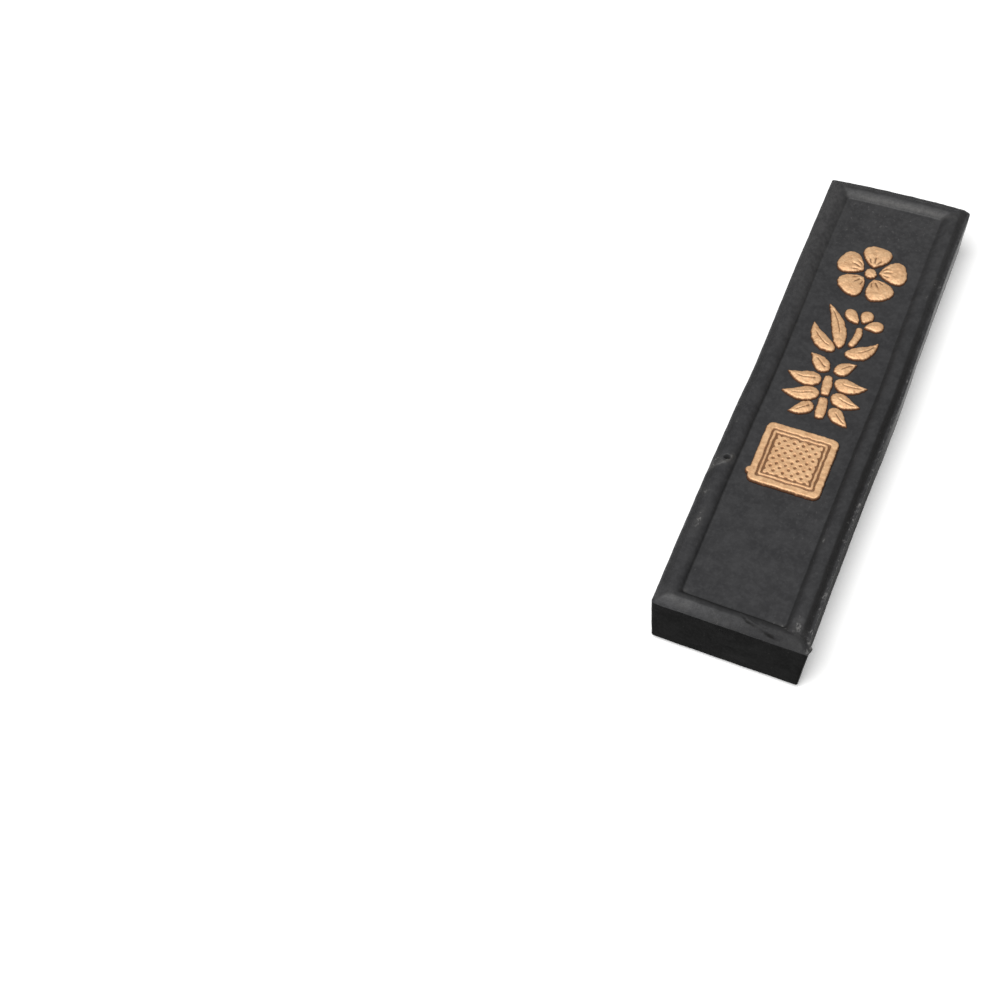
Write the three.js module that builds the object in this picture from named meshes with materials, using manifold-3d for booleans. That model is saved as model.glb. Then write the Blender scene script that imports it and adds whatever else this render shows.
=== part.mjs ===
// A moulded ink stick: a bar of pressed soot and glue, with a rounded bead around each broad
// face and gilded ornament raised from the front panel.
// Millimetres. X runs across the width, Y along the length with the upper end at +Y, and Z up
// through the thickness to the gilded face. The stick lies on its back bead at Z = 0.
import * as THREE from 'three';
import * as BufferGeometryUtils from 'three/addons/utils/BufferGeometryUtils.js';
import Module from 'manifold-3d';

const wasm = await Module();
wasm.setup();

// Driving dimensions of the cake
const LENGTH = 93.0;
const WIDTH = 24.0;
const EDGE_HEIGHT = 10.3; // side walls, from the back edge to the front edge
const LEDGE = 0.4; // narrow flat step between the edge and the bead
const BEAD_WIDTH = 3.3; // rounded bead around each broad face
const BEAD_RISE = 1.2; // crown of the bead above the ledge and the panel
const CROWN_FLAT = 0.7; // narrow flat along the crown, which the stick lies on
const BEAD_SEGMENTS = 5;
const CORNER_RADIUS = 0.8; // upright corners of the bar
const CORNER_SEGMENTS = 5;

// Driving dimensions of the ornament
const LAND_RISE = 0.4; // moulded ornament above the panel
const FILM = 0.12; // gold paint on top of it
const STROKE_STATIONS = 9;
const SEAL_SIZE = 12.0;
const SEAL_CORNER = 1.0;
const SEAL_FRAME = 1.15; // width of the thick outer frame
const SEAL_GAP = 0.35; // sunk line between the outer frame and the thin inner one
const SEAL_LINE = 0.35; // width of the thin inner frame
const SEAL_RELIEF = 0.2; // frames and lattice above the gilded ground
const LATTICE_CELLS = 5; // diamonds along each side of the lattice
const LATTICE_BAR = 0.6;

// Levels and centres that follow from them
const HEIGHT = EDGE_HEIGHT + 2 * BEAD_RISE;
const PANEL_TOP = HEIGHT - BEAD_RISE;
const LAND_TOP = PANEL_TOP + LAND_RISE;
const FILM_TOP = LAND_TOP + FILM;
const BLOSSOM_CENTRE = new THREE.Vector2(0.4, 27.1);
const ORCHID_CENTRE = new THREE.Vector2(0.3, 13.8);
const BAMBOO_CENTRE = new THREE.Vector2(0.3, 1.3);
const SEAL_CENTRE = new THREE.Vector2(0.05, -14.2);

const INK = new THREE.MeshStandardMaterial({ color: 0x3b3b3d, roughness: 0.55, metalness: 0.0 });
const GOLD = new THREE.MeshStandardMaterial({ color: 0xd3a171, roughness: 0.45, metalness: 0.6 });

const inkStick = new THREE.Group();

function addPiece(name, geometry, material) {
  const mesh = new THREE.Mesh(geometry, material);
  mesh.name = name;
  inkStick.add(mesh);
}

// Solids for joins and cuts

function toSolid(geometry) {
  const bare = geometry.clone();
  bare.deleteAttribute('normal');
  bare.deleteAttribute('uv');
  const merged = BufferGeometryUtils.mergeVertices(bare, 1e-5);
  return new wasm.Manifold(new wasm.Mesh({
    numProp: 3,
    vertProperties: new Float32Array(merged.attributes.position.array),
    triVerts: new Uint32Array(merged.index.array),
  }));
}

function toGeometry(solid) {
  const mesh = solid.getMesh();
  const geometry = new THREE.BufferGeometry();
  geometry.setAttribute('position', new THREE.BufferAttribute(mesh.vertProperties, 3));
  geometry.setIndex(new THREE.BufferAttribute(mesh.triVerts, 1));
  geometry.computeVertexNormals();
  return geometry;
}

function slab(shape, bottom, top, curveSegments = CORNER_SEGMENTS) {
  const geometry = new THREE.ExtrudeGeometry(shape, {
    depth: top - bottom, bevelEnabled: false, curveSegments,
  });
  return geometry.translate(0, 0, bottom);
}

// Outlines

function rectangle(path, width, height, centre = new THREE.Vector2()) {
  const right = width / 2;
  const top = height / 2;
  path.moveTo(centre.x - right, centre.y - top);
  path.lineTo(centre.x + right, centre.y - top);
  path.lineTo(centre.x + right, centre.y + top);
  path.lineTo(centre.x - right, centre.y + top);
  path.closePath();
  return path;
}

function roundedRectangle(path, width, height, radius, centre = new THREE.Vector2()) {
  const right = width / 2 - radius;
  const top = height / 2 - radius;
  const quarter = Math.PI / 2;
  const corners = [[right, top], [-right, top], [-right, -top], [right, -top]];
  corners.forEach(([x, y], turn) => {
    path.absarc(centre.x + x, centre.y + y, radius, turn * quarter, (turn + 1) * quarter, false);
  });
  path.closePath();
  return path;
}

// A brush stroke: its spine bends sideways between two points, and its width swells and tapers.
// taper holds one power for each end: 0.2 is blunt, 0.5 is round and 1 is a sharp point.
function strokeShape({ from, to, bend, width, taper: [atStart, atEnd] }) {
  const across = new THREE.Vector2(from.y - to.y, to.x - from.x).normalize();
  const middle = from.clone().lerp(to, 0.5).addScaledVector(across, 2 * bend);
  const spine = new THREE.QuadraticBezierCurve(from, middle, to);
  const widest = atStart / (atStart + atEnd);
  const swell = (t) => (t ** atStart) * ((1 - t) ** atEnd);
  const left = [];
  const right = [];
  for (let i = 1; i < STROKE_STATIONS; i += 1) {
    const t = (1 - Math.cos((Math.PI * i) / STROKE_STATIONS)) / 2;
    const point = spine.getPoint(t);
    const tangent = spine.getTangent(t);
    const offset = new THREE.Vector2(-tangent.y, tangent.x);
    offset.multiplyScalar((width / 2) * (swell(t) / swell(widest)));
    left.push(point.clone().add(offset));
    right.unshift(point.clone().sub(offset));
  }
  return new THREE.Shape([from, ...right.reverse(), to, ...left.reverse()]);
}

function discShape(centre, radius) {
  return new THREE.Shape().absarc(centre.x, centre.y, radius, 0, 2 * Math.PI, false);
}

// Gilded strokes of the three ornaments, each a name and an outline

function stroke(name, centre, start, end, bend, width, taper) {
  const from = centre.clone().add(new THREE.Vector2(...start));
  const to = centre.clone().add(new THREE.Vector2(...end));
  return { name, shape: strokeShape({ from, to, bend, width, taper }) };
}

function blossomStrokes() {
  const petalCount = 5;
  const petalBase = 1.4;
  const petalTip = 6.1;
  const strokes = [{ name: 'blossom_eye', shape: discShape(BLOSSOM_CENTRE, 1.05) }];
  for (let i = 0; i < petalCount; i += 1) {
    const angle = Math.PI / 2 + (2 * Math.PI * i) / petalCount;
    const along = [Math.cos(angle), Math.sin(angle)];
    const start = along.map((part) => part * petalBase);
    const end = along.map((part) => part * petalTip);
    strokes.push(stroke(`blossom_petal_${i + 1}`, BLOSSOM_CENTRE, start, end, 0.0, 4.9, [0.8, 0.4]));
  }
  return strokes;
}

function orchidStrokes() {
  const leaf = [0.6, 1.0];
  const petal = [0.8, 0.5];
  return [
    stroke('orchid_leaf_1', ORCHID_CENTRE, [-0.7, -4.5], [-5.6, 0.2], 1.0, 2.7, leaf),
    stroke('orchid_leaf_2', ORCHID_CENTRE, [1.0, -4.5], [5.6, -0.8], -1.0, 2.7, leaf),
    stroke('orchid_leaf_3', ORCHID_CENTRE, [-0.2, -3.9], [-4.4, 4.7], -0.7, 2.5, leaf),
    stroke('orchid_stalk', ORCHID_CENTRE, [1.35, -2.9], [1.85, 1.4], -0.3, 1.3, [0.2, 0.2]),
    stroke('orchid_petal_1', ORCHID_CENTRE, [1.3, 2.2], [-1.1, 4.6], 0.2, 2.1, petal),
    stroke('orchid_petal_2', ORCHID_CENTRE, [2.0, 2.5], [2.5, 5.2], 0.0, 2.2, petal),
    stroke('orchid_petal_3', ORCHID_CENTRE, [2.5, 1.7], [5.6, 2.7], 0.2, 2.2, petal),
  ];
}

function bambooStrokes() {
  const leaf = [0.5, 1.0];
  const segment = [0.15, 0.15];
  return [
    stroke('bamboo_stem_lower', BAMBOO_CENTRE, [1.0, -6.1], [0.6, -1.9], 0.0, 1.7, segment),
    stroke('bamboo_stem_upper', BAMBOO_CENTRE, [0.5, -1.4], [0.05, 2.6], 0.0, 1.6, segment),
    stroke('bamboo_leaf_1', BAMBOO_CENTRE, [-0.8, 3.2], [-4.1, 6.2], -0.3, 2.7, leaf),
    stroke('bamboo_leaf_2', BAMBOO_CENTRE, [0.85, 3.4], [3.7, 6.3], 0.2, 2.4, leaf),
    stroke('bamboo_leaf_3', BAMBOO_CENTRE, [-0.95, 1.8], [-6.6, 1.5], 0.7, 2.9, leaf),
    stroke('bamboo_leaf_4', BAMBOO_CENTRE, [1.35, 2.0], [6.7, 2.2], -0.7, 2.8, leaf),
    stroke('bamboo_leaf_5', BAMBOO_CENTRE, [-0.55, -0.9], [-6.3, -2.6], 0.6, 2.8, leaf),
    stroke('bamboo_leaf_6', BAMBOO_CENTRE, [1.75, -0.8], [6.6, -1.9], -0.5, 2.7, leaf),
    stroke('bamboo_leaf_7', BAMBOO_CENTRE, [-0.7, -3.6], [-4.2, -6.3], 0.3, 2.4, leaf),
    stroke('bamboo_leaf_8', BAMBOO_CENTRE, [2.45, -3.4], [5.8, -6.3], -0.3, 2.4, leaf),
  ];
}

// The cake: a plain bar, and a bevelled ring through it that makes the beads of both faces

function barSolid() {
  const outline = roundedRectangle(new THREE.Shape(), WIDTH, LENGTH, CORNER_RADIUS);
  return toSolid(slab(outline, BEAD_RISE, PANEL_TOP));
}

function beadSolid() {
  const slope = (BEAD_WIDTH - CROWN_FLAT) / 2;
  const outer = LEDGE + slope;
  const inner = outer + CROWN_FLAT;
  const crown = rectangle(new THREE.Shape(), WIDTH - 2 * outer, LENGTH - 2 * outer);
  crown.holes.push(rectangle(new THREE.Path(), WIDTH - 2 * inner, LENGTH - 2 * inner));
  const geometry = new THREE.ExtrudeGeometry(crown, {
    depth: EDGE_HEIGHT,
    bevelEnabled: true,
    bevelThickness: BEAD_RISE,
    bevelSize: slope,
    bevelSegments: BEAD_SEGMENTS,
  });
  return toSolid(geometry.translate(0, 0, BEAD_RISE));
}

function cakeSolid(landShapes) {
  let cake = barSolid().add(beadSolid());
  for (const shape of landShapes) {
    cake = cake.add(toSolid(slab(shape, PANEL_TOP - LAND_RISE, LAND_TOP)));
  }
  return cake;
}

// The seal: a gilded ground, and on it a thick frame, a thin inner frame and a diagonal lattice

function squareRing(size, corner, band, innerCorner) {
  const opening = size - 2 * band;
  const ring = roundedRectangle(new THREE.Shape(), size, size, corner, SEAL_CENTRE);
  ring.holes.push(roundedRectangle(new THREE.Path(), opening, opening, innerCorner, SEAL_CENTRE));
  return ring;
}

// Diagonal bars one pitch apart both ways, trimmed to a square
function latticeSolid(size, bottom, top) {
  const pitch = size / LATTICE_CELLS;
  const outline = rectangle(new THREE.Shape(), size, size, SEAL_CENTRE);
  const bar = rectangle(new THREE.Shape(), 2 * size, LATTICE_BAR);
  let bars = null;
  for (const slope of [-1, 1]) {
    for (let step = 1 - LATTICE_CELLS; step < LATTICE_CELLS; step += 1) {
      const offset = (step * pitch) / 2;
      const geometry = slab(bar, bottom, top).rotateZ((slope * Math.PI) / 4);
      geometry.translate(SEAL_CENTRE.x + offset, SEAL_CENTRE.y - slope * offset, 0);
      const solid = toSolid(geometry);
      bars = bars ? bars.add(solid) : solid;
    }
  }
  return bars.intersect(toSolid(slab(outline, bottom - FILM, top + FILM))).simplify(0.01);
}

function addSeal(ground) {
  const reliefTop = FILM_TOP + SEAL_RELIEF;
  const innerSize = SEAL_SIZE - 2 * (SEAL_FRAME + SEAL_GAP);
  const latticeSize = innerSize - 2 * (SEAL_LINE + SEAL_GAP);
  const frame = squareRing(SEAL_SIZE, SEAL_CORNER, SEAL_FRAME, SEAL_LINE);
  const line = squareRing(innerSize, SEAL_LINE, SEAL_LINE, SEAL_LINE / 2);
  addPiece('seal_ground', slab(ground, LAND_TOP, FILM_TOP), GOLD);
  addPiece('seal_frame', slab(frame, FILM_TOP, reliefTop), GOLD);
  addPiece('seal_inner_line', slab(line, FILM_TOP, reliefTop), GOLD);
  const lattice = latticeSolid(latticeSize, FILM_TOP, reliefTop);
  addPiece('seal_lattice', toGeometry(lattice), GOLD);
}

// Assembly

const strokes = [...blossomStrokes(), ...orchidStrokes(), ...bambooStrokes()];
const sealGround = roundedRectangle(
  new THREE.Shape(), SEAL_SIZE, SEAL_SIZE, SEAL_CORNER, SEAL_CENTRE,
);
const landShapes = [...strokes.map((item) => item.shape), sealGround];
addPiece('ink_cake', toGeometry(cakeSolid(landShapes)), INK);
for (const { name, shape } of strokes) {
  addPiece(name, slab(shape, LAND_TOP, FILM_TOP), GOLD);
}
addSeal(sealGround);

export default inkStick;
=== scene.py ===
"""The looks of a moulded ink stick: a matt black cake of soot and glue with gilded ornament.

Lengths in this file are millimetres until make_mesh turns them into metres. X runs across the
stick, Y along it with the upper end at +Y, and Z up through the gilded face.
"""

import math

import bmesh
import bpy
import numpy as np
from mathutils import Matrix, Vector, noise
from mathutils.geometry import delaunay_2d_cdt


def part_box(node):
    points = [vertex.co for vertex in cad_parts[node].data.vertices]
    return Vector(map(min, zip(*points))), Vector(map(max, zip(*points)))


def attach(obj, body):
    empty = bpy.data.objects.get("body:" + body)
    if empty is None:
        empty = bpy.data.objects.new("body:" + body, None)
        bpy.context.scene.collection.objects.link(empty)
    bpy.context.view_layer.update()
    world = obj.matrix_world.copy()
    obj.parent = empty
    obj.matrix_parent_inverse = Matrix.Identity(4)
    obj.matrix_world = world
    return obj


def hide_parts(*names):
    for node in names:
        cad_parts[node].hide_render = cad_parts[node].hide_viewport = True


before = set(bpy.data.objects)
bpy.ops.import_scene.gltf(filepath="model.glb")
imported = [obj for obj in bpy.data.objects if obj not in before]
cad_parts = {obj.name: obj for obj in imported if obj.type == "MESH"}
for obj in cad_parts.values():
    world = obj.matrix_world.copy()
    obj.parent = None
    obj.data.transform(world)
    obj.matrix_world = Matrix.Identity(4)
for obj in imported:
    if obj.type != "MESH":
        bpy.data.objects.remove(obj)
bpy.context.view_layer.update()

MM = 0.001

# The moulded border, as on the CAD cake
LEDGE = 0.4
BEAD_WIDTH = 3.3
BEAD_RISE = 1.2
# How the outline's corners are rounded: left and right lower, then left and right upper
CORNER_RADII = (0.5, 0.35, 0.3, 0.9)
ARRIS_RADIUS = 0.14

# How closely the cake's mesh is divided: over its parts, along the crack and beside the pit
ARRIS_STATIONS = (0.0, 0.02, 0.05, 0.09, 0.14)
BORDER_STATIONS_FROM = 0.24
BORDER_STEP = 0.14
PANEL_STEP_ACROSS = 0.42
PANEL_STEP_ALONG = 0.31
CRACK_STEP = 0.21
PIT_STEP = 0.1
WALL_ROWS = 12

# How the cake dried out of true: its bow, the flare of its right corners and the lean of its sides
BOW = 0.32
BOW_CENTRE = 5.0
BOW_REACH = 14.0
LOWER_FLARE = 0.5
UPPER_FLARE = 0.15
LEFT_LEAN = 0.12
RIGHT_LEAN = 0.45
# A small nub stands out at the lower end of the right edge
NUB_AT = -45.0
NUB_REACH = 0.4

# Gilding runs a little over the sides of the relief and starts a little below the panel
PAINT_OVERLAP = 0.05
PAINT_ROOT = 0.08
# The share of its rise that is a plain wall, below the rounded top
SHOULDER = 0.45
# How far apart the points of its meshes lie, and those of the raster that gives the seal's relief
STROKE_SPACING = 0.10
SEAL_SPACING = 0.09
SEAL_RASTER_STEP = 0.03
# How thickly the seal's frame is covered, and the blob of paint that sits beside the seal
SEAL_SKIN = 0.08
BLOB_AT = (-6.05, -18.3)
BLOB_RADIUS = 0.60
VEIN_WIDTH = 0.12
VEIN_DEPTH = 0.16
# Veins: place from -1 at one side to 1 at the other, and how far they reach towards the tip
LEAF_VEINS = ((0.0, 0.78),)
PETAL_VEINS = ((-0.45, 0.50), (0.0, 0.55), (0.45, 0.50))

# The small pit broken out of the left bead
NICK_AT = (-9.85, -17.6)
NICK_RADII = (0.46, 0.36)
# A ragged rim hooks round the pit and runs to the edge; a crack runs along the lower border
FLAKE = ((-9.2, -17.1), (-9.1, -17.8), (-9.7, -18.5), (-10.5, -18.9), (-11.7, -19.9))
CRACK = ((1.9, -43.8), (2.5, -44.6), (3.6, -45.0), (5.0, -45.3), (6.6, -45.8), (8.2, -46.0))
# One place across where the crack stands open, and how far on the next one is
CRACK_OPEN_AT = 2.8
CRACK_OPEN_EVERY = 3.8
# Dents in the beads: centre, reach across and along, depth
DENTS = (
    ((9.9, -42.2), (0.9, 1.4), 0.35),
    ((-11.0, -25.0), (0.5, 0.6), 0.12),
    ((10.9, 28.5), (0.5, 0.9), 0.10),
    ((9.2, -27.2), (0.4, 0.7), 0.12),
)
# Where the soot is paler: centre, reach across and along, strength. Most are rubbed marks; the wide
# one on the lower border makes its left part paler.
RUBBED = (
    ((-11.2, -18.2), (0.8, 0.9), 0.6),
    ((-11.4, -19.4), (0.5, 0.9), 0.7),
    ((-10.1, -30.4), (0.6, 1.9), 0.7),
    ((-10.7, -10.2), (0.3, 0.4), 0.7),
    ((-11.1, -24.8), (0.8, 0.6), 0.5),
    ((9.1, -27.0), (0.3, 0.5), 0.9),
    ((11.0, 28.5), (0.5, 1.6), 0.5),
    ((10.5, 25.0), (0.3, 0.4), 0.6),
    ((10.0, -42.3), (0.6, 1.1), 0.5),
    ((7.7, -42.6), (0.5, 0.3), 0.9),
    ((-7.9, -42.3), (0.4, 0.3), 0.7),
    ((12.2, -45.2), (0.5, 0.9), 0.8),
    ((8.6, -43.3), (0.5, 0.6), 0.5),
    ((11.8, -18.5), (0.25, 0.35), 0.9),
    ((11.85, -21.2), (0.2, 0.5), 0.8),
    ((11.85, -35.6), (0.2, 0.6), 0.9),
    ((6.5, -42.6), (0.35, 0.25), 0.9),
    ((10.6, -43.0), (1.4, 1.8), 0.45),
    ((-8.8, -44.6), (2.2, 1.0), 0.25),
)

CAKE_LOW, CAKE_HIGH = (np.array(corner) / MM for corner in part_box("ink_cake"))
HALF_WIDTH = (CAKE_HIGH[0] - CAKE_LOW[0]) / 2
HALF_LENGTH = (CAKE_HIGH[1] - CAKE_LOW[1]) / 2
HEIGHT = CAKE_HIGH[2]
PANEL_TOP = HEIGHT - BEAD_RISE
BORDER = LEDGE + BEAD_WIDTH

# The photographer's view of the stick: direction, distance and what the lens points at
VIEW_AZIMUTH = 28.33
VIEW_ELEVATION = 56.84
VIEW_ROLL = -6.35
VIEW_DISTANCE = 299.9
VIEW_TARGET = (-44.2, -30.9, 0.0)
LENS = 64.7

# The studio, with the floor's reach in metres
FLOOR_REACH = 60.0
FLOOR_SIDES = 72
FLOOR_TONE = (0.93, 0.93, 0.925, 1.0)
FLOOR_GLOW = 0.16
AMBIENT = 0.06
LAMP_AZIMUTH = -12.0
LAMP_ELEVATION = 68.0
LAMP_SPREAD = 38.0
LAMP_STRENGTH = 3.75

# Soot's two tones on the moulded faces and on the walls, whose far darker tones are painted shade,
# and what lies over them: pale rubs and painted highlight, painted shade, smudges and dust
FACE_TONES = ((0.029, 0.029, 0.0305), (0.040, 0.040, 0.0415))
WALL_TONES_WITH_PAINTED_SHADE = ((0.0060, 0.0060, 0.0060), (0.0098, 0.0098, 0.0098))
RUB_AND_HIGHLIGHT_TONE = (0.092, 0.089, 0.085)
PAINTED_SHADE_TONE = (0.008, 0.0075, 0.007)
SMUDGE_TONE = (0.016, 0.016, 0.016)
DUST_TONE = (0.21, 0.205, 0.20)
# Each part of the cake: its tones, its least and most roughness, and its specular level
INK_LOOKS = {
    "ink_face": (FACE_TONES, (0.46, 0.60), 0.22),
    "ink_side": (WALL_TONES_WITH_PAINTED_SHADE, (0.34, 0.48), 0.42),
    "ink_end": (WALL_TONES_WITH_PAINTED_SHADE, (0.72, 0.86), 0.03),
}
FACE_SLOT, SIDE_SLOT, END_SLOT = range(3)
PLAIN_DUST = 0.12

# Gold paint's two tones, and its flakes, thin places, painted shade in its hollows, and its rims
GOLD_TONES = ((0.69, 0.41, 0.215), (0.81, 0.52, 0.29))
FLAKE_TONE = (0.84, 0.66, 0.43)
THIN_TONE = (0.52, 0.27, 0.13)
SUNK_SHADE_TONE = (0.15, 0.068, 0.030)
RIM_TONE = (0.20, 0.085, 0.04)
GOLD_METALLIC = 0.4


# ---------------------------------------------------------------- numbers


def smoothstep(low, high, values):
    share = np.clip((values - low) / (high - low), 0.0, 1.0)
    return share * share * (3.0 - 2.0 * share)


def smooth_min(first, second, blend):
    share = np.clip(0.5 + 0.5 * (second - first) / blend, 0.0, 1.0)
    return second * (1.0 - share) + first * share - blend * share * (1.0 - share)


def smooth_max(first, second, blend):
    return -smooth_min(-first, -second, blend)


def rough(x, y, z, size, seed):
    """Soft noise from -1 to 1 whose lumps are about size millimetres across."""
    shift = Vector((seed * 13.7, seed * 7.3, seed * 3.1))
    points = np.stack(np.broadcast_arrays(x, y, z), axis=-1).reshape(-1, 3) / size
    values = [noise.noise(Vector(point) + shift) for point in points]
    return np.array(values).reshape(np.shape(x))


def spot(x, y, centre, radii):
    """A soft spot: 1 at its centre and fading to nothing past its radii."""
    return np.exp(-(((x - centre[0]) / radii[0]) ** 2) - ((y - centre[1]) / radii[1]) ** 2)


# ---------------------------------------------------------------- meshes


def make_mesh(name, points, faces, attributes):
    """A smooth-shaded object from points in millimetres, with a float attribute per point."""
    mesh = bpy.data.meshes.new(name)
    mesh.from_pydata((np.asarray(points) * MM).tolist(), [], faces)
    for key, values in attributes.items():
        layer = mesh.attributes.new(key, "FLOAT", "POINT")
        layer.data.foreach_set("value", np.asarray(values, np.float32))
    mesh.polygons.foreach_set("use_smooth", [True] * len(mesh.polygons))
    mesh.update()
    piece = bpy.data.objects.new(name, mesh)
    bpy.context.scene.collection.objects.link(piece)
    return piece


def face_outwards(piece):
    work = bmesh.new()
    work.from_mesh(piece.data)
    bmesh.ops.recalc_face_normals(work, faces=work.faces)
    work.to_mesh(piece.data)
    work.free()
    piece.data.update()


# ---------------------------------------------------------------- the cake


def near_corner(x, y, left_lower, right_lower, left_upper, right_upper):
    """A value for each corner of the outline."""
    lower = np.where(x < 0, left_lower, right_lower)
    upper = np.where(x < 0, left_upper, right_upper)
    return np.where(y < 0, lower, upper)


def by_border(x, y, left, right, lower, upper):
    """A value for each border, mixed where two borders meet."""
    end_share = smoothstep(-0.8, 0.8, (HALF_WIDTH - np.abs(x)) - (HALF_LENGTH - np.abs(y)))
    side = np.where(x < 0, left, right)
    end = np.where(y < 0, lower, upper)
    return side * (1.0 - end_share) + end * end_share


def stations(half, panel_step, extra):
    """Places across the cake: close together over the moulded border, wider over the panel.

    The extra places stand in for the panel's own ones where they lie.
    """
    over_border = np.arange(BORDER_STATIONS_FROM, BORDER + 0.6, BORDER_STEP)
    inset = np.concatenate([ARRIS_STATIONS, over_border])
    reach = half - inset[-1]
    count = int(round(2 * reach / panel_step))
    middle = np.linspace(-reach, reach, count + 1)[1:-1]
    middle = middle[(middle < extra[0] - 0.1) | (middle > extra[-1] + 0.1)]
    middle = np.sort(np.concatenate([middle, extra]))
    return np.concatenate([-half + inset, middle, half - inset[::-1]])


def bead_relief(inset, ledge, outer_power, inner_power):
    """Height of the bead at a distance in from the outline.

    A power of 2 gives its flank a quarter ellipse and a power of 1 a straight bevel.
    """
    crown = LEDGE + BEAD_WIDTH / 2
    outer = np.clip((crown - inset) / (crown - ledge), 0.0, 1.0)
    inner = np.clip((inset - crown) / (BORDER - crown), 0.0, 1.0)
    outer = (1.0 - outer**outer_power) ** (1.0 / outer_power)
    inner = (1.0 - inner**inner_power) ** (1.0 / inner_power)
    relief = BEAD_RISE * np.minimum(outer, inner)
    return smooth_max(relief, np.zeros_like(relief), 0.10)


def inset_from_outline(x, y):
    """How far in from the outline a point lies, softened where the beads mitre."""
    return smooth_min(HALF_WIDTH - np.abs(x), HALF_LENGTH - np.abs(y), 0.6)


def out_of_true(points):
    """The cake dried a little out of true: bowed, with its ends askew and one corner flared."""
    x, y, z = points.T
    from_lower_end = y + HALF_LENGTH
    bow = BOW * np.exp(-(((y - BOW_CENTRE) / BOW_REACH) ** 2))
    upper = 0.22 - 0.0028 * (x - 5.5) ** 2 + 0.07 * rough(x, 0.0, z, 2.2, 3.0)
    upper = upper * smoothstep(HALF_LENGTH - 11.0, HALF_LENGTH - 1.5, y)
    inner_shift = -0.38 - 0.022 * x
    outer_shift = 0.06 - 0.011 * x
    inner_share = smoothstep(0.6, BORDER, from_lower_end)
    lower = inner_share * inner_shift + (1.0 - inner_share) * outer_shift
    lower = lower * (1.0 - smoothstep(BORDER + 0.5, BORDER + 6.0, from_lower_end))
    flare = LOWER_FLARE * (1.0 - smoothstep(0.6, 4.2, from_lower_end))
    flare = flare + UPPER_FLARE * smoothstep(HALF_LENGTH - 4.0, HALF_LENGTH, y)
    flare = flare * smoothstep(HALF_WIDTH - 2.6, HALF_WIDTH, x) * smoothstep(0.0, HEIGHT, z)
    nub = NUB_REACH * np.exp(-(((y - NUB_AT) / 0.35) ** 2)) * smoothstep(9.0, 11.2, z)
    lean = np.where(x > 0, RIGHT_LEAN * z / HEIGHT + nub, -LEFT_LEAN * z / HEIGHT)
    lean = lean * (1.0 - smoothstep(0.14, 0.60, HALF_WIDTH - np.abs(x)))
    sides = 0.06 * rough(x, y, z, 7.0, 9.0) + 0.03 * rough(x, y, z, 1.8, 10.0)
    ends = 0.06 * rough(x, y, z, 4.0, 11.0) * smoothstep(HALF_LENGTH - 3.0, HALF_LENGTH, np.abs(y))
    return np.stack([x + bow + sides + flare + lean, y + upper + lower + ends, z], axis=-1)


def round_corners(x, y):
    """Pulls the square corners of the outline in to an arc."""
    radius = near_corner(x, y, *CORNER_RADII)
    u = np.clip(1.0 - (HALF_WIDTH - np.abs(x)) / radius, 0.0, 1.0)
    v = np.clip(1.0 - (HALF_LENGTH - np.abs(y)) / radius, 0.0, 1.0)
    pull_x = radius * u * (1.0 - np.sqrt(1.0 - v * v / 2))
    pull_y = radius * v * (1.0 - np.sqrt(1.0 - u * u / 2))
    return x - np.sign(x) * pull_x, y - np.sign(y) * pull_y


def rounded_arris(inset):
    """How far the surface drops where it turns down into the wall."""
    short = np.clip(ARRIS_RADIUS - inset, 0.0, ARRIS_RADIUS)
    return ARRIS_RADIUS - np.sqrt(ARRIS_RADIUS**2 - short**2)


def nick(x, y):
    """1 in the small pit broken out of the left bead, 0 elsewhere."""
    reach = np.hypot((x - NICK_AT[0]) / NICK_RADII[0], (y - NICK_AT[1]) / NICK_RADII[1])
    return np.exp(-(reach**4))


def near_path(path, x, y, near, far, seed):
    """1 along a path and 0 beyond it, with an uneven edge."""
    points = np.stack([x.ravel(), y.ravel()], axis=1)
    away = distance_to(np.array(path), points).reshape(x.shape)
    return 1.0 - smoothstep(near, far, away + 0.13 * rough(x, y, 0.0, 0.5, seed))


def scuff(x, y):
    """1 on the ragged rim beside the pit."""
    return near_path(FLAKE, x, y, 0.12, 0.36, 8.0) * (1.0 - nick(x, y))


def crack(x, y):
    """1 where the crack in the lower border stands open, and less where it is nearly shut."""
    opening = 0.6 + 0.4 * np.cos((x - CRACK_OPEN_AT) * 2 * math.pi / CRACK_OPEN_EVERY)
    sway = 0.16 * rough(x, y, 0.0, 0.9, 14.0)
    return opening * near_path(CRACK, x, y + sway, 0.02, 0.24, 6.0)


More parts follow.
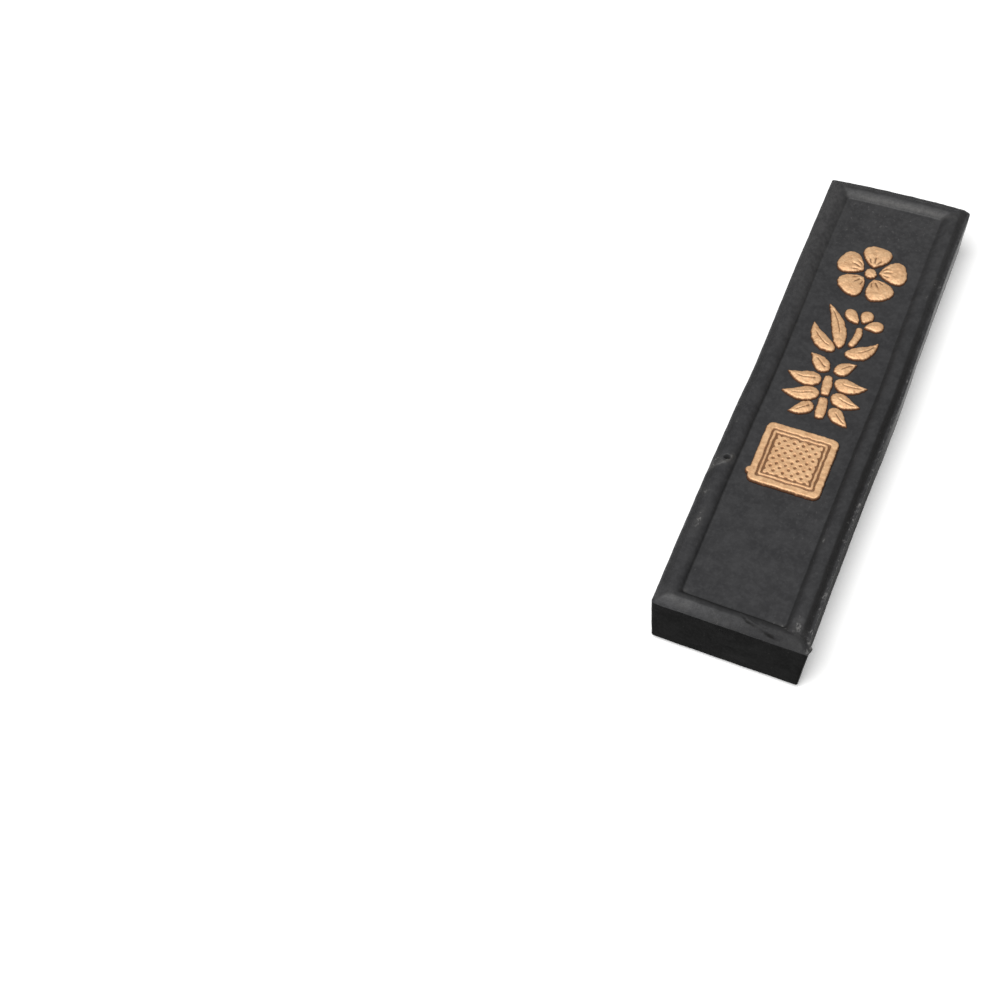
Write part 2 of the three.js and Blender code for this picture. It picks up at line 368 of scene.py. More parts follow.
def front_relief(x, y):
    """The gilded face: a bead whose wear differs on each border, and its chips and cracks."""
    wander = 0.07 * rough(x, y, 0.0, 7.0, 1.0) + 0.03 * rough(x, y, 0.0, 1.6, 2.0)
    inset = inset_from_outline(x, y)
    softer = smoothstep(0.0, 32.0, y)
    side_inner = 1.75 - 0.45 * softer
    ledge = by_border(x, y, 0.12, LEDGE, 0.05, 0.25)
    outer = by_border(x, y, 1.5 - 0.15 * softer, 1.95, 1.35, 1.5)
    inner = by_border(x, y, side_inner, side_inner, 1.9, 1.3)
    moved = inset + wander * smoothstep(0.0, 1.5, inset)
    relief = bead_relief(moved, ledge, outer, inner)
    relief = relief * by_border(x, y, 1.0 - 0.10 * softer, 1.0 - 0.10 * softer, 1.0, 0.80)

    relief = relief + 0.030 * rough(x, y, 0.0, 5.0, 1.0) + 0.012 * rough(x, y, 0.0, 1.3, 2.0)
    relief = relief + 0.010 * rough(x, y, 0.0, 0.5, 3.0)

    relief = relief + 0.14 * scuff(x, y) - 0.85 * nick(x, y) - 0.30 * crack(x, y)
    relief = relief + 0.12 * near_path(CRACK, x - 0.25, y - 0.25, 0.05, 0.35, 12.0)
    relief = relief + 0.10 * rough(x, y, 0.0, 0.55, 22.0) * spot(x, y, (10.4, -43.8), (2.0, 2.2))
    for centre, radii, depth in DENTS:
        relief = relief - depth * spot(x, y, centre, radii)

    lip = smoothstep(-0.1, 0.35, rough(x, y, 0.0, 0.7, 7.0))
    lip = lip * (1.0 - smoothstep(0.1, 0.45, inset)) * by_border(x, y, 0.06, 0.10, 0.05, 0.05)
    return relief + lip - rounded_arris(inset)


def back_relief(x, y):
    """The plain back: the same bead, as it left the mould."""
    inset = inset_from_outline(x, y)
    relief = bead_relief(inset, LEDGE, 1.8, 1.8)
    relief = relief + 0.030 * rough(x, y, 0.0, 5.0, 15.0) + 0.012 * rough(x, y, 0.0, 1.3, 16.0)
    return relief - rounded_arris(inset)


def front_dust(x, y):
    """Where pale dust and bare rubbed soot show: 0 for none, 1 for most."""
    inset = inset_from_outline(x, y)
    arris = 1.0 - smoothstep(0.20, 0.50, inset)
    right_arris = 0.32 - 0.06 * smoothstep(-5.0, 25.0, y)
    dust = 0.12 + arris * by_border(x, y, 0.22, right_arris, 0.10, 0.10)
    dust = dust + 0.16 * smoothstep(24.0, 40.0, y) * smoothstep(BORDER, BORDER + 1.0, inset)
    dust = dust + 0.14 * spot(x, y, (5.5, -22.0), (4.5, 8.0))
    for centre, radii, strength in RUBBED:
        dust = dust + 0.6 * strength * spot(x, y, centre, radii)
    return np.clip(dust, 0.0, 1.0) * (1.0 - nick(x, y))


def front_rub_and_highlight(x, y):
    """Where the soot is paler, from 0 for none to 1 for most: rubbed marks, and painted highlight.
    """
    # Painted highlight: a bright band along the upper border's inner slope, and paler towards the
    # upper end
    inward = HALF_LENGTH - y - 3.2
    slope = np.exp(-((inward / np.where(inward > 0, 0.40, 0.52)) ** 2) - ((x - 1.5) / 8.5) ** 4)
    rub_and_highlight = 0.10 * smoothstep(15.0, 45.0, y) + 0.52 * slope
    # Painted light: the left bead paler towards its upper end
    rub_and_highlight = rub_and_highlight + 0.13 * smoothstep(-4.0, 22.0, y) * (1.0 - smoothstep(-8.6, -7.9, x))
    rub_and_highlight = rub_and_highlight + scuff(x, y) * (0.50 + 0.35 * rough(x, y, 0.0, 0.6, 18.0))
    rub_and_highlight = rub_and_highlight + 0.24 * near_path(FLAKE, x, y, 0.2, 0.9, 19.0)
    # Patchy paler along the lower border
    lower_border = 1.0 - smoothstep(2.2, 3.0, y + HALF_LENGTH)
    rub_and_highlight = rub_and_highlight + 0.15 * lower_border * smoothstep(-0.1, 0.5, rough(x, y, 0.0, 1.1, 24.0))
    for centre, radii, strength in RUBBED:
        rub_and_highlight = rub_and_highlight + 0.45 * strength * spot(x, y, centre, radii)
    return np.clip(rub_and_highlight, 0.0, 1.0) * (1.0 - nick(x, y))


def front_painted_shade(x, y):
    """Painted shading, where the soot is also duller: in the groove, on the beads' outer flanks,
    along the lower border, in the crack and the pit, and in a broad patch.
    """
    inset = inset_from_outline(x, y) + 0.05 * rough(x, y, 0.0, 1.2, 21.0)
    softer = smoothstep(0.0, 30.0, y)
    # Painted shade in the groove and on the beads' outer flanks
    middle = BORDER - by_border(x, y, 0.15, 0.42, 0.25, 0.25)
    groove = np.exp(-(((inset - middle) / 0.40) ** 2))
    groove = groove * by_border(x, y, 0.34 - 0.34 * softer, 0.62 - 0.2 * softer, 0.8, 0.0)
    flank = smoothstep(0.20, 0.45, inset) * (1.0 - smoothstep(0.9, 1.35, inset))
    flank = flank * by_border(x, y, 0.45 - 0.4 * softer, 1.05 - 0.3 * softer, 0.0, 0.5)
    flank = flank * smoothstep(1.5, 5.0, y + HALF_LENGTH)
    # Darker towards the right along the lower border
    tone_ramp = smoothstep(-9.0, 8.0, x) * (1.0 - smoothstep(2.6, 3.3, y + HALF_LENGTH))
    # Painted shade in the crack joins the rest
    painted_shade = np.clip(groove + flank + 0.50 * tone_ramp + 0.9 * crack(x, y), 0.0, 1.3)
    # A broad patch of painted shade right of the middle
    painted_shade = painted_shade + 0.18 * spot(x, y, (8.5, -8.0), (5.5, 20.0))
    # Painted shade in the pit
    return painted_shade + 1.5 * nick(x, y)


def wall_dust_and_painted_light(x, y, depth):
    """Dust, painted light and painted shading on the walls, whose depth goes from 0 at the front to
    1 at the back.
    """
    front_share = 1.0 - smoothstep(0.1, 0.8, depth)
    upper_share = smoothstep(-15.0, 10.0, y)
    dust = PLAIN_DUST + front_share * by_border(x, y, 0.06, 0.14, 0.0, 0.06)
    # Painted light: the left and upper walls paler near the face, fading towards the back
    tone_ramp = 0.16 * front_share
    # Painted reflection: a pale band along the upper half of the right wall
    right_painted_reflection = 0.34 * upper_share * smoothstep(0.10, 0.50, depth)
    rub_and_highlight = by_border(x, y, tone_ramp, right_painted_reflection, 0.0, tone_ramp)
    # Painted shade: the right wall darker at its front edge, and darker still on its lower half
    upper_shade = 0.8 * (1.0 - smoothstep(0.05, 0.35, depth))
    right_shade = upper_share * upper_shade + (1.0 - upper_share) * 1.5
    return dust, rub_and_highlight, by_border(x, y, 0.0, right_shade, 0.0, 0.0)


def face_quads(flat):
    """The quads of the front grid and, turned over, of the back grid that follows it."""
    quads = []
    for i in range(flat.shape[0] - 1):
        for j in range(flat.shape[1] - 1):
            corners = (flat[i, j], flat[i + 1, j], flat[i + 1, j + 1], flat[i, j + 1])
            quads.append(tuple(int(corner) for corner in corners))
            quads.append(tuple(int(corner) + flat.size for corner in reversed(corners)))
    return quads


def wall_quads(loops, on_lower_end):
    """The quads between the loops round the walls, and the material slot of each."""
    quads, slots = [], []
    for upper, lower in zip(loops, loops[1:]):
        for i in range(len(upper)):
            after = (i + 1) % len(upper)
            quad = (upper[i], lower[i], lower[after], upper[after])
            quads.append(tuple(int(corner) for corner in quad))
            slots.append(END_SLOT if on_lower_end[i] and on_lower_end[after] else SIDE_SLOT)
    return quads, slots


def build_cake():
    """A front and a back grid over the outline, joined by rows of wall quads."""
    along_crack = np.arange(CRACK[0][0] - 0.1, 7.5, CRACK_STEP)
    beside_pit = np.arange(FLAKE[-1][1] - 0.4, NICK_AT[1] + 0.95, PIT_STEP)
    across = stations(HALF_WIDTH, PANEL_STEP_ACROSS, along_crack)
    along = stations(HALF_LENGTH, PANEL_STEP_ALONG, beside_pit)
    x, y = np.meshgrid(across, along, indexing="ij")
    flat = np.arange(x.size).reshape(x.shape)
    rim = np.concatenate([flat[:-1, 0], flat[-1, :-1], flat[:0:-1, -1], flat[0, :0:-1]])

    rounded_x, rounded_y = round_corners(x, y)
    front = np.stack([rounded_x, rounded_y, PANEL_TOP + front_relief(x, y)], axis=-1)
    back = np.stack([rounded_x, rounded_y, BEAD_RISE - back_relief(x, y)], axis=-1)
    front = front.reshape(-1, 3)
    back = back.reshape(-1, 3)
    levels = smoothstep(0.0, 1.0, np.linspace(0.0, 1.0, WALL_ROWS + 1))[1:-1]
    walls = np.concatenate([front[rim] * (1.0 - level) + back[rim] * level for level in levels])
    points = np.concatenate([front, back, walls])

    wall_dust, wall_painted_highlight, wall_painted_shade = wall_dust_and_painted_light(*walls.T[:2], np.repeat(levels, len(rim)))
    plain = np.zeros(len(back))
    attributes = {
        "dust": np.concatenate([front_dust(x, y).ravel(), plain + PLAIN_DUST, wall_dust]),
        "rub_and_highlight": np.concatenate([front_rub_and_highlight(x, y).ravel(), plain, wall_painted_highlight]),
        "painted_shade": np.concatenate([front_painted_shade(x, y).ravel(), plain, wall_painted_shade]),
    }

    rows = 2 * flat.size + np.arange(len(walls)).reshape(len(levels), len(rim))
    on_lower_end = y.ravel()[rim] < 1e-6 - HALF_LENGTH
    quads = face_quads(flat)
    sides, side_slots = wall_quads([rim, *rows, rim + flat.size], on_lower_end)
    cake = make_mesh("cake_body", out_of_true(points), quads + sides, attributes)
    for name, look in INK_LOOKS.items():
        cake.data.materials.append(ink_material(name, *look))
    slots = [FACE_SLOT] * len(quads) + side_slots
    cake.data.polygons.foreach_set("material_index", slots)
    face_outwards(cake)
    return cake


# ---------------------------------------------------------------- gilding


def top_loop(node):
    """The outline of a CAD node's flat top, in order, as x and y in millimetres."""
    top = max(vertex.co.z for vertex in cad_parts[node].data.vertices)
    work = bmesh.new()
    work.from_mesh(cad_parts[node].data)
    bmesh.ops.remove_doubles(work, verts=work.verts, dist=1e-7)
    lower = [face for face in work.faces if min(v.co.z for v in face.verts) < top - 1e-6]
    bmesh.ops.delete(work, geom=lower, context="FACES")
    rim = {}
    for edge in work.edges:
        if len(edge.link_faces) == 1:
            first, second = edge.verts
            rim.setdefault(first, []).append(second)
            rim.setdefault(second, []).append(first)
    start = min(rim, key=lambda vertex: (vertex.co.y, vertex.co.x))
    loop, before = [start], None
    while True:
        step = next(vertex for vertex in rim[loop[-1]] if vertex is not before)
        if step is start:
            break
        before = loop[-1]
        loop.append(step)
    outline = np.array([vertex.co.xy for vertex in loop], float) / MM
    work.free()
    following = np.roll(outline, -1, axis=0)
    area = np.sum(outline[:, 0] * following[:, 1] - following[:, 0] * outline[:, 1])
    return outline if area > 0 else outline[::-1]


def divided(outline, longest):
    """The outline with points added along its long straight edges."""
    points = []
    for start, end in zip(outline, np.roll(outline, -1, axis=0)):
        count = max(1, math.ceil(np.linalg.norm(end - start) / longest))
        for share in np.arange(count) / count:
            points.append(start * (1.0 - share) + end * share)
    return np.array(points)


def softened(outline, rounds):
    """The outline with its corners rounded off."""
    for _ in range(rounds):
        outline = (np.roll(outline, 1, axis=0) + 2 * outline + np.roll(outline, -1, axis=0)) / 4
    return outline


def resample(outline, spacing):
    """A smooth closed curve through the outline's points, in even steps."""
    before = np.roll(outline, 1, axis=0)
    after = np.roll(outline, -1, axis=0)
    beyond = np.roll(outline, -2, axis=0)
    dense = []
    for share in np.linspace(0.0, 1.0, 12, endpoint=False):
        t, t2, t3 = share, share**2, share**3
        curve = (
            (2 * outline)
            + (after - before) * t
            + (2 * before - 5 * outline + 4 * after - beyond) * t2
            + (3 * outline - before - 3 * after + beyond) * t3
        )
        dense.append(curve / 2)
    dense = np.stack(dense, axis=1).reshape(-1, 2)
    path = closed(dense)
    lengths = np.concatenate([[0.0], np.cumsum(np.linalg.norm(np.diff(path, axis=0), axis=1))])
    count = max(12, int(round(lengths[-1] / spacing)))
    places = np.linspace(0.0, lengths[-1], count, endpoint=False)
    return np.stack([np.interp(places, lengths, path[:, axis]) for axis in (0, 1)], axis=1)


def ragged(outline, seed):
    """The outline with the small unevenness of brushed paint on moulded relief."""
    tangent = np.roll(outline, -1, axis=0) - np.roll(outline, 1, axis=0)
    tangent /= np.linalg.norm(tangent, axis=1)[:, None]
    outward = np.stack([tangent[:, 1], -tangent[:, 0]], axis=1)
    x, y = outline.T
    push = 0.10 * rough(x, y, 0.0, 0.9, seed) + 0.06 * rough(x, y, 0.0, 0.3, seed + 1)
    return outline + outward * (push + PAINT_OVERLAP)[:, None]


def closed(outline):
    return np.vstack([outline, outline[:1]])


def distance_to(path, points):
    """Each point's distance to an open path."""
    start = path[None, :-1]
    step = path[None, 1:] - start
    away = points[:, None] - start
    share = np.clip(np.sum(away * step, -1) / np.maximum(np.sum(step * step, -1), 1e-12), 0, 1)
    return np.min(np.linalg.norm(away - share[..., None] * step, axis=-1), axis=1)


def inside(outline, points):
    """Whether each point lies inside a closed outline."""
    x, y = points[:, 0][:, None], points[:, 1][:, None]
    x1, y1 = outline[:, 0][None], outline[:, 1][None]
    x2, y2 = np.roll(x1, -1, axis=1), np.roll(y1, -1, axis=1)
    spans = (y1 > y) != (y2 > y)
    rise = np.where(spans, y2 - y1, 1.0)
    crossing = spans & (x < (x2 - x1) * (y - y1) / rise + x1)
    return np.sum(crossing, axis=1) % 2 == 1


def fill_outline(outline, spacing):
    """Triangles over an outline: its own points first, then an even pattern of inner ones."""
    low, high = outline.min(0), outline.max(0)
    xs = np.arange(low[0], high[0], spacing)
    ys = np.arange(low[1], high[1], spacing * math.sqrt(3) / 2)
    x, y = np.meshgrid(xs, ys)
    x = x + (np.arange(len(ys)) % 2)[:, None] * spacing / 2
    inner = np.stack([x.ravel(), y.ravel()], axis=1)
    inner = inner[inside(outline, inner)]
    inner = inner[distance_to(closed(outline), inner) > 0.55 * spacing]
    points = np.vstack([outline, inner])
    ring = [(i, (i + 1) % len(outline)) for i in range(len(outline))]
    filled = delaunay_2d_cdt([Vector(p) for p in points], ring, [], 1, 1e-6)
    return np.array([tuple(p) for p in filled[0]]), [tuple(face) for face in filled[2]], ring


def raised_piece(name, outline, spacing, wall_top, height_at):
    """A closed solid whose rounded top rises from a short wall around an outline.

    height_at gives the height of each point and how deep it lies in the relief, from 0 to 1, which
    sets the painted shading there.
    """
    points, triangles, ring = fill_outline(outline, spacing)
    depth = distance_to(closed(outline), points)
    depth[: len(outline)] = 0.0
    heights, sunk_shade = height_at(points, depth)
    top = np.column_stack([points, heights])
    top[: len(outline), 2] = wall_top
    bottom = np.column_stack([points, np.full(len(points), PANEL_TOP - PAINT_ROOT)])
    shift = len(points)
    faces = list(triangles)
    faces += [tuple(corner + shift for corner in reversed(face)) for face in triangles]
    faces += [(a, a + shift, b + shift, b) for a, b in ring]
    attributes = {"inset": np.tile(depth, 2), "sunk_shade": np.tile(sunk_shade, 2)}
    piece = make_mesh(name, np.vstack([top, bottom]), faces, attributes)
    face_outwards(piece)
    return piece


def tips(outline, root):
    """The places in the outline of its two ends: nearest to its root and farthest from it.

    Without a root they are the two points farthest apart.
    """
    if root is None:
        spans = np.linalg.norm(outline[:, None] - outline[None], axis=-1)
        return np.unravel_index(np.argmax(spans), spans.shape)
    reach = np.linalg.norm(outline - root, axis=1)
    return np.argmin(reach), np.argmax(reach)


def vein_lines(outline, points, root, veins):
    """1 in the veins pressed into a leaf or petal, which run from its foot towards its tip."""
    foot, tip = tips(outline, root)
    turned = np.roll(outline, -foot, axis=0)
    split = (tip - foot) % len(outline)
    left = distance_to(turned[: split + 1], points)
    right = distance_to(closed(turned)[split:], points)
    width = left + right
    along = np.linalg.norm(points - outline[foot], axis=1)
    along = along / np.linalg.norm(outline[tip] - outline[foot])
    lines = np.zeros(len(points))
    for place, reach in veins:
        aside = (left - right - place * width) / 2
        line = np.exp(-((aside / VEIN_WIDTH) ** 2)) * (1.0 - smoothstep(reach - 0.15, reach, along))
        lines = np.maximum(lines, line * smoothstep(0.12, 0.22, along))
    return lines


def stroke_height(outline, node_top, root, veins, seed):
    """Rounded at the rim, ridged along the middle, veined, and lumpy from the brush."""

    def height_at(points, depth):
        x, y = points.T
        rim = np.clip(depth / 0.38, 0.0, 1.0)
        rounded = np.sqrt(1.0 - (1.0 - rim) ** 2)
        rise = node_top - PANEL_TOP
        lumps = 0.06 * rough(x, y, 0.0, 0.8, seed) + 0.035 * rough(x, y, 0.0, 0.3, seed + 2)
        crown = 0.20 * np.minimum(depth, 1.1)
        lines = vein_lines(outline, points, root, veins) * smoothstep(0.15, 0.45, depth)
        top = PANEL_TOP + rise * (SHOULDER + (1.0 - SHOULDER) * rounded) + rim * (crown + lumps)
        # The veins get painted shade
        return top - VEIN_DEPTH * lines, 0.8 * lines

    return height_at


def build_stroke(node, seed):
    outline = ragged(resample(divided(top_loop(node), 0.5), STROKE_SPACING), seed)
    node_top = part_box(node)[1].z / MM
    wall_top = PANEL_TOP + SHOULDER * (node_top - PANEL_TOP)
    root = None
    veins = LEAF_VEINS if "leaf" in node else ()
    if node.startswith("blossom_petal"):
        low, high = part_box("blossom_eye")
        root = np.array((low + high).xy) / 2 / MM
        veins = PETAL_VEINS
    height_at = stroke_height(outline, node_top, root, veins, seed)
    piece = raised_piece(node + "_gilt", outline, STROKE_SPACING, wall_top, height_at)
    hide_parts(node)
    return piece


def top_mask(nodes, low, high, step):
    """A raster over a rectangle: 1 where the flat top of a CAD node covers it."""
    xs = np.arange(low[0], high[0], step)
    ys = np.arange(low[1], high[1], step)
    grid_x, grid_y = np.meshgrid(xs, ys, indexing="ij")
    mask = np.zeros(grid_x.shape)
    for node in nodes:
        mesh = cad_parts[node].data
        mesh.calc_loop_triangles()
        points = np.array([vertex.co for vertex in mesh.vertices]) / MM
        top = points[:, 2].max()
        for triangle in mesh.loop_triangles:
            corners = points[list(triangle.vertices)]
            if corners[:, 2].min() < top - 1e-3:
                continue
            flat = corners[:, :2]
            first = np.maximum(np.searchsorted(xs, flat[:, 0].min()), 0)
            last = np.searchsorted(xs, flat[:, 0].max()) + 1
            start = np.maximum(np.searchsorted(ys, flat[:, 1].min()), 0)
            stop = np.searchsorted(ys, flat[:, 1].max()) + 1
            px, py = grid_x[first:last, start:stop], grid_y[first:last, start:stop]
            sides = []
            for a, b in ((0, 1), (1, 2), (2, 0)):
                edge = flat[b] - flat[a]
                sides.append(edge[0] * (py - flat[a, 1]) - edge[1] * (px - flat[a, 0]))
            covered = np.all(np.stack(sides) >= -1e-9, axis=0)
            covered |= np.all(np.stack(sides) <= 1e-9, axis=0)
            mask[first:last, start:stop][covered] = 1.0
    return mask


def blurred(values, radius_steps):
    """Softens a raster by a run of small averages."""
    for _ in range(radius_steps):
        padded = np.pad(values, 1, mode="edge")
        values = (padded[:-2, 1:-1] + padded[2:, 1:-1] + 2 * padded[1:-1, 1:-1]) / 4
        padded = np.pad(values, 1, mode="edge")
        values = (padded[1:-1, :-2] + padded[1:-1, 2:] + 2 * padded[1:-1, 1:-1]) / 4
    return values


def sample(raster, low, step, points):
    """Reads a raster between its points."""
    place = (points - low) / step
    place = np.clip(place, 0, np.array(raster.shape) - 1.001)
    cell = place.astype(int)
    i, j = cell.T
    u, v = (place - cell).T
    near = raster[i, j] * (1 - u) + raster[i + 1, j] * u
    far = raster[i, j + 1] * (1 - u) + raster[i + 1, j + 1] * u
    return near * (1 - v) + far * v


def build_seal():
    """The gilded square: one skin over its ground, its two frames and its lattice."""
    relief_nodes = ["seal_frame", "seal_inner_line", "seal_lattice"]
    low, high = (np.array(corner.xy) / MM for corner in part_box("seal_ground"))
    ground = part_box("seal_ground")[1].z / MM
    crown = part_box("seal_frame")[1].z / MM + SEAL_SKIN
    low = low - 0.5
    mask = blurred(top_mask(relief_nodes, low, high + 0.5, SEAL_RASTER_STEP), 10)
    outline = softened(resample(divided(top_loop("seal_ground"), 0.5), SEAL_SPACING), 30)
    blob = np.sqrt(np.clip(BLOB_RADIUS**2 - (outline[:, 1] - BLOB_AT[1]) ** 2, 0.0, None))
    outline[:, 0] -= np.where(outline[:, 0] < BLOB_AT[0] + 1.0, blob, 0.0)
    outline = ragged(resample(outline, SEAL_SPACING), 31.0)

    def height_at(points, depth):
        x, y = points.T
        wobble = np.stack([rough(x, y, 0.0, 1.1, 41.0), rough(x, y, 0.0, 1.1, 42.0)], axis=1)
        printed = sample(mask, low, SEAL_RASTER_STEP, points + 0.14 * wobble)
        relief = smoothstep(0.14, 0.72, printed)
        from_blob = np.linalg.norm(points - BLOB_AT, axis=1)
        relief = np.maximum(relief, 1.0 - smoothstep(BLOB_RADIUS, 1.3 * BLOB_RADIUS, from_blob))
        rim = np.clip(depth / 0.4, 0.0, 1.0)
        rounded = np.sqrt(1.0 - (1.0 - rim) ** 2)
        lumps = 0.05 * rough(x, y, 0.0, 0.7, 43.0) + 0.02 * rough(x, y, 0.0, 0.3, 44.0)
        top = ground + (crown - ground) * relief + lumps
        share = SHOULDER + (1.0 - SHOULDER) * rounded
        # The seal's hollows get painted shade
        return PANEL_TOP + (top - PANEL_TOP) * share, 1.0 - relief

    wall_top = PANEL_TOP + SHOULDER * (crown - PANEL_TOP)
    piece = raised_piece("seal_gilt", outline, SEAL_SPACING, wall_top, height_at)
    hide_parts("seal_ground", *relief_nodes)
    return piece


# ---------------------------------------------------------------- materials


class Graph:
    """Short ways to add and join shader nodes."""

    def __init__(self, name):
        self.material = bpy.data.materials.new(name)
        self.material.use_nodes = True
        self.tree = self.material.node_tree
        self.shader = self.tree.nodes["Principled BSDF"]
        self.place = self.tree.nodes.new("ShaderNodeTexCoord").outputs["Object"]

    def link(self, source, target):
        self.tree.links.new(source, target)

    def attribute(self, name):
        node = self.tree.nodes.new("ShaderNodeAttribute")
        node.attribute_name = name
        return node.outputs["Fac"]

    def noise(self, size, detail=3.0, roughness=0.5, stretch=(1.0, 1.0, 1.0), distortion=0.0):
        """Noise with lumps of about size millimetres, stretched along the axes."""
        mapping = self.tree.nodes.new("ShaderNodeMapping")
        mapping.inputs["Scale"].default_value = [1.0 / part for part in stretch]
        self.link(self.place, mapping.inputs["Vector"])
        node = self.tree.nodes.new("ShaderNodeTexNoise")
        node.inputs["Scale"].default_value = 1.0 / (size * MM)
        node.inputs["Detail"].default_value = detail
        node.inputs["Roughness"].default_value = roughness
        node.inputs["Distortion"].default_value = distortion
        self.link(mapping.outputs["Vector"], node.inputs["Vector"])
        return node.outputs["Fac"]

    def ramp(self, value, low, high, to_low=0.0, to_high=1.0):
        """Carries a value from one range to another, smoothly and clamped."""
        node = self.tree.nodes.new("ShaderNodeMapRange")
        node.interpolation_type = "SMOOTHSTEP"
        node.inputs["From Min"].default_value = low
        node.inputs["From Max"].default_value = high
        node.inputs["To Min"].default_value = to_low
        node.inputs["To Max"].default_value = to_high
        self.link(value, node.inputs["Value"])
        return node.outputs["Result"]

    def math(self, operation, first, second):
        node = self.tree.nodes.new("ShaderNodeMath")
        node.operation = operation
        for socket, value in zip(node.inputs, (first, second)):
            if isinstance(value, (int, float)):
                socket.default_value = value
            else:
                self.link(value, socket)
        return node.outputs["Value"]

    def mix(self, share, first, second):
        node = self.tree.nodes.new("ShaderNodeMix")
        node.data_type = "RGBA"
        self.link(share, node.inputs["Factor"])
        for socket, value in ((node.inputs["A"], first), (node.inputs["B"], second)):
            if isinstance(value, tuple):
                socket.default_value = (*value, 1.0)
            else:
                self.link(value, socket)
        return node.outputs["Result"]

    def bump(self, height, distance, strength, normal=None):
        node = self.tree.nodes.new("ShaderNodeBump")
        node.inputs["Distance"].default_value = distance * MM
        node.inputs["Strength"].default_value = strength
        self.link(height, node.inputs["Height"])
        if normal is not None:
            self.link(normal, node.inputs["Normal"])
        return node.outputs["Normal"]

    def set(self, **values):
        for key, value in values.items():
            self.shader.inputs[key.replace("_", " ")].default_value = value


def ink_material(name, tones, gloss, specular):
    """Pressed soot and glue: finely grained and nearly black, with pale dust in the grain.

    The walls are darker than the moulded faces, which is painted shading, and have a slight sheen.
    The lower end has none, because it is rubbed wet on an inkstone.
    """
    is_wall = tones is WALL_TONES_WITH_PAINTED_SHADE
    graph = Graph(name)
    mottle = graph.noise(3.0, 4.0, 0.6)
    blotch = graph.noise(0.75, 3.0, 0.6)
    grain = graph.noise(0.20, 3.0, 0.6)
    specks = graph.noise(0.55, 4.0, 0.62, (0.8, 1.3, 1.0), 0.6)
    dark, light = tones
    soot = graph.mix(graph.ramp(mottle, 0.3, 0.7), dark, light)
    pale = tuple(1.4 * part for part in light)
    soot = graph.mix(graph.ramp(blotch, 0.40, 0.72, 0.0, 0.38), soot, pale)
    if is_wall:
        smudge = graph.noise(4.0, 3.0, 0.5, (2.5, 2.5, 1.0))
        soot = graph.mix(graph.ramp(smudge, 0.50, 0.72, 0.0, 0.6), soot, SMUDGE_TONE)
    uneven = graph.ramp(blotch, 0.30, 0.62, 0.5, 1.0)
    # Paler where rubbed, and painted highlight
    soot = graph.mix(graph.math("MULTIPLY", graph.attribute("rub_and_highlight"), uneven), soot, RUB_AND_HIGHLIGHT_TONE)
    painted_shade = graph.attribute("painted_shade")
    # Painted shade darkens the soot
    soot = graph.mix(graph.math("MULTIPLY", painted_shade, 0.65), soot, PAINTED_SHADE_TONE)
    dust = graph.attribute("dust")
    flecks = graph.math("ADD", specks, graph.math("MULTIPLY", dust, 0.26))
    cover = graph.ramp(dust, 0.10, 0.60, 0.12, 0.60)
    shown = graph.math("MULTIPLY", graph.ramp(flecks, 0.65, 0.79), cover)
    color = graph.mix(shown, soot, DUST_TONE)
    graph.link(color, graph.shader.inputs["Base Color"])
    roughness = graph.ramp(grain, 0.3, 0.7, *gloss)
    roughness = graph.math("ADD", roughness, graph.math("MULTIPLY", painted_shade, 0.40))
    graph.link(roughness, graph.shader.inputs["Roughness"])
    rise = graph.bump(grain, 0.02, 0.6)
    rise = graph.bump(blotch, 0.05, 0.6, rise)
    if is_wall:
        rise = graph.bump(graph.noise(0.3, 3.0, 0.6, (7.0, 7.0, 1.0)), 0.05, 0.5, rise)
    graph.link(rise, graph.shader.inputs["Normal"])
    graph.set(Specular_IOR_Level=specular)
    return graph.material


def gold_material():
    """Coppery gold paint, brushed on: bright on the tops, redder and darker at the rims."""
    graph = Graph("gold_paint")
    flakes = graph.noise(0.22, 3.0, 0.6)
    brushing = graph.noise(0.9, 3.0, 0.55)
    body = graph.mix(graph.ramp(brushing, 0.3, 0.7), *GOLD_TONES)
    body = graph.mix(graph.ramp(flakes, 0.55, 0.78, 0.0, 0.5), body, FLAKE_TONE)
    thin = graph.ramp(graph.noise(0.6, 3.0, 0.6), 0.30, 0.46, 0.55, 0.0)
    body = graph.mix(thin, body, THIN_TONE)
    # Painted shade in the veins and the seal's hollows
    sunk_shade = graph.ramp(graph.attribute("sunk_shade"), 0.25, 0.85, 0.0, 0.9)
    body = graph.mix(sunk_shade, body, SUNK_SHADE_TONE)
    spread = graph.math("MULTIPLY", graph.noise(0.35, 2.0, 0.5), 0.26)
    rim = graph.ramp(graph.math("SUBTRACT", graph.attribute("inset"), spread), -0.10, 0.11)
    color = graph.mix(rim, RIM_TONE, body)
    graph.link(color, graph.shader.inputs["Base Color"])
    graph.link(graph.ramp(flakes, 0.3, 0.7, 0.54, 0.70), graph.shader.inputs["Roughness"])
    rise = graph.bump(flakes, 0.03, 0.5)
    rise = graph.bump(brushing, 0.05, 0.4, rise)
    graph.link(rise, graph.shader.inputs["Normal"])
    graph.set(Metallic=GOLD_METALLIC)
    return graph.material


def floor_material():
    graph = Graph("pale_floor")
    graph.set(Base_Color=FLOOR_TONE, Roughness=0.7)
    graph.set(Emission_Color=(1.0, 1.0, 1.0, 1.0), Emission_Strength=FLOOR_GLOW)
    return graph.material


# ---------------------------------------------------------------- stage, light and camera


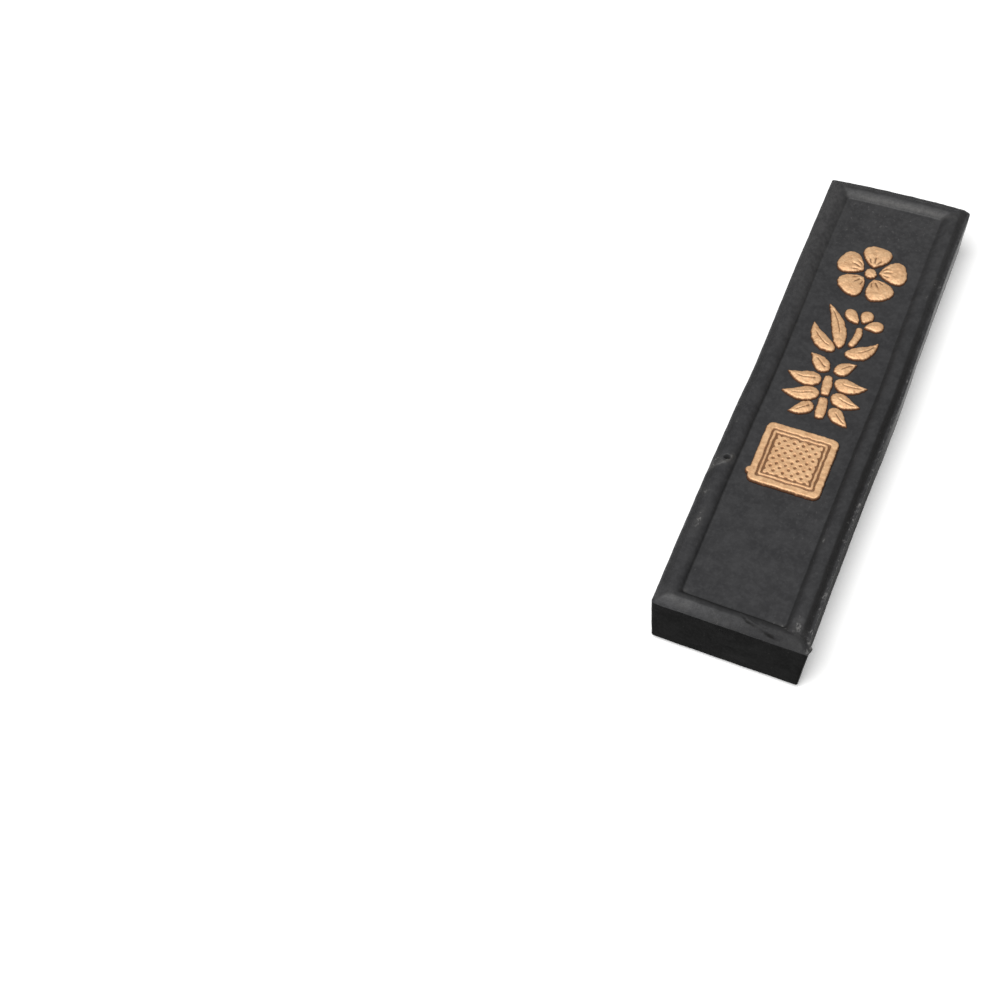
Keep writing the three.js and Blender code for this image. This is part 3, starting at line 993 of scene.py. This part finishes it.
def build_stage():
    """A pale floor that reaches to the horizon."""
    turns = np.linspace(0.0, 2 * math.pi, FLOOR_SIDES, endpoint=False)
    points = [(FLOOR_REACH * math.cos(turn), FLOOR_REACH * math.sin(turn), 0.0) for turn in turns]
    mesh = bpy.data.meshes.new("floor")
    mesh.from_pydata(points, [], [tuple(range(FLOOR_SIDES))])
    floor = bpy.data.objects.new("floor", mesh)
    bpy.context.scene.collection.objects.link(floor)
    floor.data.materials.append(floor_material())


def direction(azimuth, elevation):
    """A unit vector from two angles in degrees; azimuth 0 is on the -Y side."""
    a, e = math.radians(azimuth), math.radians(elevation)
    return Vector((math.sin(a) * math.cos(e), -math.cos(a) * math.cos(e), math.sin(e)))


def build_lamp():
    """A broad soft light from far away."""
    away = direction(LAMP_AZIMUTH, LAMP_ELEVATION)
    lamp = bpy.data.lights.new("overhead", "SUN")
    lamp.angle = math.radians(LAMP_SPREAD)
    lamp.energy = LAMP_STRENGTH
    light = bpy.data.objects.new("overhead", lamp)
    light.location = away
    light.rotation_euler = (-away).to_track_quat("-Z", "Y").to_euler()
    bpy.context.scene.collection.objects.link(light)


def build_backdrop():
    """White to the camera, and a little light from all round on everything else."""
    world = bpy.data.worlds.new("studio")
    world.use_nodes = True
    nodes, links = world.node_tree.nodes, world.node_tree.links
    backdrop = nodes["Background"]
    backdrop.inputs["Color"].default_value = (1.0, 1.0, 1.0, 1.0)
    strength = nodes.new("ShaderNodeMath")
    strength.operation = "MAXIMUM"
    strength.inputs[1].default_value = AMBIENT
    links.new(nodes.new("ShaderNodeLightPath").outputs["Is Camera Ray"], strength.inputs[0])
    links.new(strength.outputs["Value"], backdrop.inputs["Strength"])
    bpy.context.scene.world = world


def build_camera():
    data = bpy.data.cameras.new("camera")
    data.lens = LENS
    data.sensor_width = 36.0
    data.clip_start = 0.01
    data.clip_end = 100.0
    camera = bpy.data.objects.new("camera", data)
    away = direction(VIEW_AZIMUTH, VIEW_ELEVATION)
    camera.location = Vector(VIEW_TARGET) * MM + away * VIEW_DISTANCE * MM
    aim = (-away).to_track_quat("-Z", "Y").to_matrix()
    roll = Matrix.Rotation(math.radians(VIEW_ROLL), 3, "Z")
    camera.rotation_euler = (aim @ roll).to_euler()
    bpy.context.scene.collection.objects.link(camera)
    bpy.context.scene.camera = camera


# ---------------------------------------------------------------- assembly

build_camera()
build_backdrop()
build_lamp()
build_stage()

gold = gold_material()

cake = build_cake()
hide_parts("ink_cake")
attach(cake, "root")

stroke_nodes = [name for name in sorted(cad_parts) if not name.startswith(("ink", "seal"))]
gilt = [build_stroke(node, 3.0 * number) for number, node in enumerate(stroke_nodes)]
gilt.append(build_seal())
for piece in gilt:
    piece.data.materials.append(gold)
    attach(piece, "root")

bpy.context.scene.view_settings.view_transform = "Standard"
